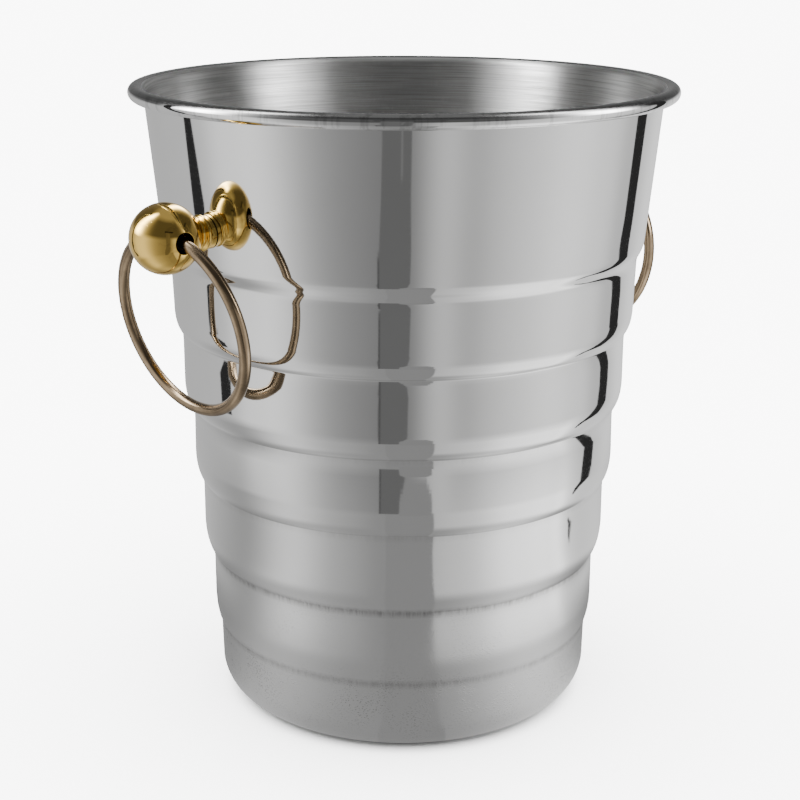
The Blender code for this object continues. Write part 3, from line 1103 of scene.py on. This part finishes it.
@dataclass(frozen=True)
class Studio:
    """A pale floor under a round light tent with a few gaps."""

    camera: Camera
    tent_radius: float = 0.30
    tent_height: float = 0.60
    skirt: float = 0.237
    lid_level: float = 0.40
    lid_fade: float = 0.14
    # the belts from the floor's middle outwards and up; each fades into the next
    near: Cloth = Cloth(0.32, (Lamp(-56, 25, 0.31), Lamp(62, 29, 0.77)))
    low: Cloth = Cloth(0.11, (
        Lamp(-55, 20, 0.88), Lamp(-24, 16, 0.24), Lamp(23, 24, 0.65), Lamp(51, 16, 1.13),
        Lamp(74, 18, 1.59), Lamp(84, 5, 0.45), Lamp(118, 45, 0.94), Lamp(-140, 60, 0.56)))
    high: Cloth = Cloth(0.15, (
        Lamp(-83, 57, 0.52), Lamp(-75, 8, 0.21), Lamp(-58, 17, 0.68), Lamp(15, 9, 0.43),
        Lamp(37, 18, 0.38), Lamp(70, 26, 1.17), Lamp(91, 8, 0.18), Lamp(132, 27, 0.89),
        Lamp(-176, 57, 0.41)))
    top: Cloth = Cloth(0.10, (
        Lamp(-77, 10, 16.4), Lamp(-63, 14, 0.70), Lamp(76, 10, 11.1), Lamp(64, 15, 0.86),
        Lamp(180, 45, 0.24)))
    gaps: tuple[Gap, ...] = (
        Gap(0.031, ((0.050, -92.5, -85.5), (0.075, -93.6, -85.5), (0.096, -96.0, -91.2),
                    (0.122, -95.6, -90.6), (0.138, -95.8, -87.6), (0.185, -94.5, -89.7),
                    (0.300, -96.0, -90.5), (0.600, -99.0, -89.0))),
        Gap(0.031, ((-0.050, 92.0, 93.2), (0.000, 94.5, 99.0), (0.022, 98.6, 109.5),
                    (0.066, 106.0, 115.5), (0.110, 106.5, 116.5), (0.121, 105.0, 114.8),
                    (0.136, 106.2, 115.4), (0.191, 105.2, 114.6), (0.230, 105.2, 114.2),
                    (0.300, 99.0, 112.0), (0.600, 96.0, 112.0))),
        Gap(0.155, ((0.012, -10.4, -2.0), (0.029, -10.5, -1.4), (0.050, -10.7, 1.6),
                    (0.074, -10.8, 1.9), (0.112, -9.3, 2.9), (0.140, -8.3, 2.6), (0.169, -7.6, 2.8),
                    (0.350, -7.4, 3.2))),
        Gap(0.300, ((-0.237, -8.0, 14.0), (0.012, -8.0, 14.0))),
        Gap(0.285, ((0.002, -2.0, 13.2), (0.034, -1.6, 13.0), (0.044, 3.0, 10.0))),
        Gap(0.085, ((0.012, -10.9, -10.2), (0.112, -9.9, -9.3))),
        Gap(0.220, ((0.150, -1.0, -0.4), (0.280, -0.3, 0.3))),
        Gap(0.010, ((0.322, -10.0, 13.0), (0.346, -10.0, 15.0))),
    )

    def build(self) -> None:
        """Make the floor, the tent, the sky and the lights."""
        self.floor()
        self.tent()
        self.sky()

    def floor(self) -> None:
        """A wide pale floor with its own soft light."""
        bm = bmesh.new()
        bmesh.ops.create_circle(bm, cap_ends=True, segments=96, radius=14.0)
        mesh = bpy.data.meshes.new("floor")
        bm.to_mesh(mesh)
        bm.free()
        floor = link("floor", mesh)
        floor.location.z = -0.0002
        desk = NodeDesk("pale_floor")
        seen = desk.node("LightPath").outputs["Is Camera Ray"]
        tone = desk.mix(seen, (0.07, 0.07, 0.07), (0.92, 0.92, 0.92))
        mesh.materials.append(desk.finish(base_color=tone, roughness=0.9, specular_ior_level=0.0))
        floor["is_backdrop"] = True
        lamp = bpy.data.lights.new("floor_light", "SUN")
        lamp.energy = 30.0
        lamp.angle = math.radians(100.0)
        light = bpy.data.objects.new("floor_light", lamp)
        bpy.context.scene.collection.objects.link(light)
        group = bpy.data.collections.new("floor_only")
        group.objects.link(floor)
        light.light_linking.receiver_collection = group

    def glow(self, heights: np.ndarray, bearing: float) -> list[float]:
        """Brightness along one upright of the tent.

        Args:
            heights: Heights on the wall; below zero they run inwards over the floor, and
                above the wall they run inwards over the lid.
            bearing: Degrees to the right of the camera.

        Returns:
            One brightness for each height.
        """
        near, low, high, top = (cloth.at(bearing) for cloth in (self.near, self.low, self.high, self.top))
        level = np.interp(heights, (-0.165, -0.125, 0.0, 0.05, 0.225, 0.265),
                          (near, low, low, high, high, top))
        for gap in self.gaps:
            level += (gap.level - level) * gap.cover(heights, bearing)
        lid = np.clip((heights - self.tent_height) / self.lid_fade, 0.0, 1.0)
        return (level + (self.lid_level - level) * lid).tolist()

    def tent(self) -> None:
        """A round wall of soft light, with a skirt and a lid, that only shows in reflections."""
        columns = 1080
        heights = np.concatenate((
            np.linspace(-self.skirt, 0.0, 18, endpoint=False),
            self.tent_height * np.linspace(0.0, 1.0, 101) ** 1.5,
            self.tent_height + self.tent_radius * np.arange(1, 15) / 15))
        reach = self.tent_radius + np.minimum(heights, 0.0) - np.maximum(heights - self.tent_height, 0.0)
        level = np.clip(heights, 0.0, self.tent_height) + 0.0005
        verts, faces, glow = [], [], []
        for i in range(columns):
            turn = -180.0 + 360.0 * i / columns
            a = math.radians(self.camera.bearing_deg + turn)
            verts += zip((reach * math.cos(a)).tolist(), (reach * math.sin(a)).tolist(), level.tolist())
            glow += self.glow(heights, turn)
        rows = len(heights)
        for i in range(columns):
            a, b = i * rows, ((i + 1) % columns) * rows
            faces += [(a + j, a + j + 1, b + j + 1, b + j) for j in range(rows - 1)]
        mesh = bpy.data.meshes.new("tent")
        mesh.from_pydata(verts, [], faces)
        mesh.attributes.new("glow", "FLOAT", "POINT").data.foreach_set("value", glow)
        tent = link("tent", mesh)
        material = bpy.data.materials.new("tent_glow")
        material.use_nodes = True
        tree = material.node_tree
        tree.nodes.clear()
        reader = tree.nodes.new("ShaderNodeAttribute")
        reader.attribute_name = "glow"
        lamp = tree.nodes.new("ShaderNodeEmission")
        output = tree.nodes.new("ShaderNodeOutputMaterial")
        tree.links.new(reader.outputs["Fac"], lamp.inputs["Strength"])
        tree.links.new(lamp.outputs[0], output.inputs["Surface"])
        mesh.materials.append(material)
        tent.visible_camera = False
        tent.visible_diffuse = False
        tent.visible_shadow = False
        tent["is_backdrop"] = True

    def sky(self) -> None:
        """White for the eye, a softer grey for everything that reflects it."""
        world = bpy.data.worlds.new("studio")
        bpy.context.scene.world = world
        world.use_nodes = True
        tree = world.node_tree
        back = tree.nodes["Background"]
        ray = tree.nodes.new("ShaderNodeLightPath")
        blend = tree.nodes.new("ShaderNodeMix")
        blend.data_type = "FLOAT"
        blend.inputs[2].default_value = 0.50
        blend.inputs[3].default_value = 8.5
        tree.links.new(ray.outputs["Is Camera Ray"], blend.inputs[0])
        tree.links.new(blend.outputs[0], back.inputs["Strength"])
        back.inputs["Color"].default_value = (1.0, 1.0, 1.0, 1.0)


# --------------------------------------------------------------------------
# Assembly
# --------------------------------------------------------------------------


def corners() -> list[list[float]]:
    """The shown object's box as plain lists."""
    bpy.context.view_layer.update()
    return [[float(v) for v in corner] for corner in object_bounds()]


def main() -> None:
    """Build the studio and every piece, and report them."""
    logging.basicConfig(level=logging.INFO, format="%(message)s")
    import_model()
    cad_box = corners()
    camera = Camera()
    camera.build()
    Studio(camera).build()

    silver = MirrorSilver().material()
    brushed = BrushedSilver().material()
    brass = Brass("polished_brass", (0.90, 0.60, 0.15), (0.46, 0.28, 0.08), 0.045, 0.25).material()
    # Painted shade: a dark brass for the inside of the balls' cross holes.
    worn = Brass("hole_shade_brass", (0.22, 0.14, 0.06), (0.07, 0.045, 0.025), 0.30, 0.8).material()
    bronze = Brass("aged_brass", (0.37, 0.275, 0.175), (0.15, 0.11, 0.07), 0.12, 0.8).material()
    steel = ScrewSteel().material()
    rubber = SealRubber().material()

    bucket = BucketBody()
    bucket.build()
    bucket.dress(silver, brushed)
    LOG.info("bucket: %d faces", len(bucket.piece.data.polygons))

    sizes = RingSizes()
    for side, lean, turn in ((Side.LEFT, 10.9, 2.1), (Side.RIGHT, 2.6, 0.0)):
        knob = Knob(side, bucket, sizes)
        knob.build()
        knob.dress(brass, worn, steel, rubber)
        for part, ob in knob.pieces.items():
            LOG.info("%s %s: %d faces", side.label, part, len(ob.data.polygons))
        ring = CarryRing(knob, lean, turn, sizes)
        ring.build(bronze)
        ring.dress(bronze)
        LOG.info("%s ring: %d faces", side.label, len(ring.piece.data.polygons))

    {"cad": cad_box, "visual": corners()}


if __name__ == "__main__":
    main()
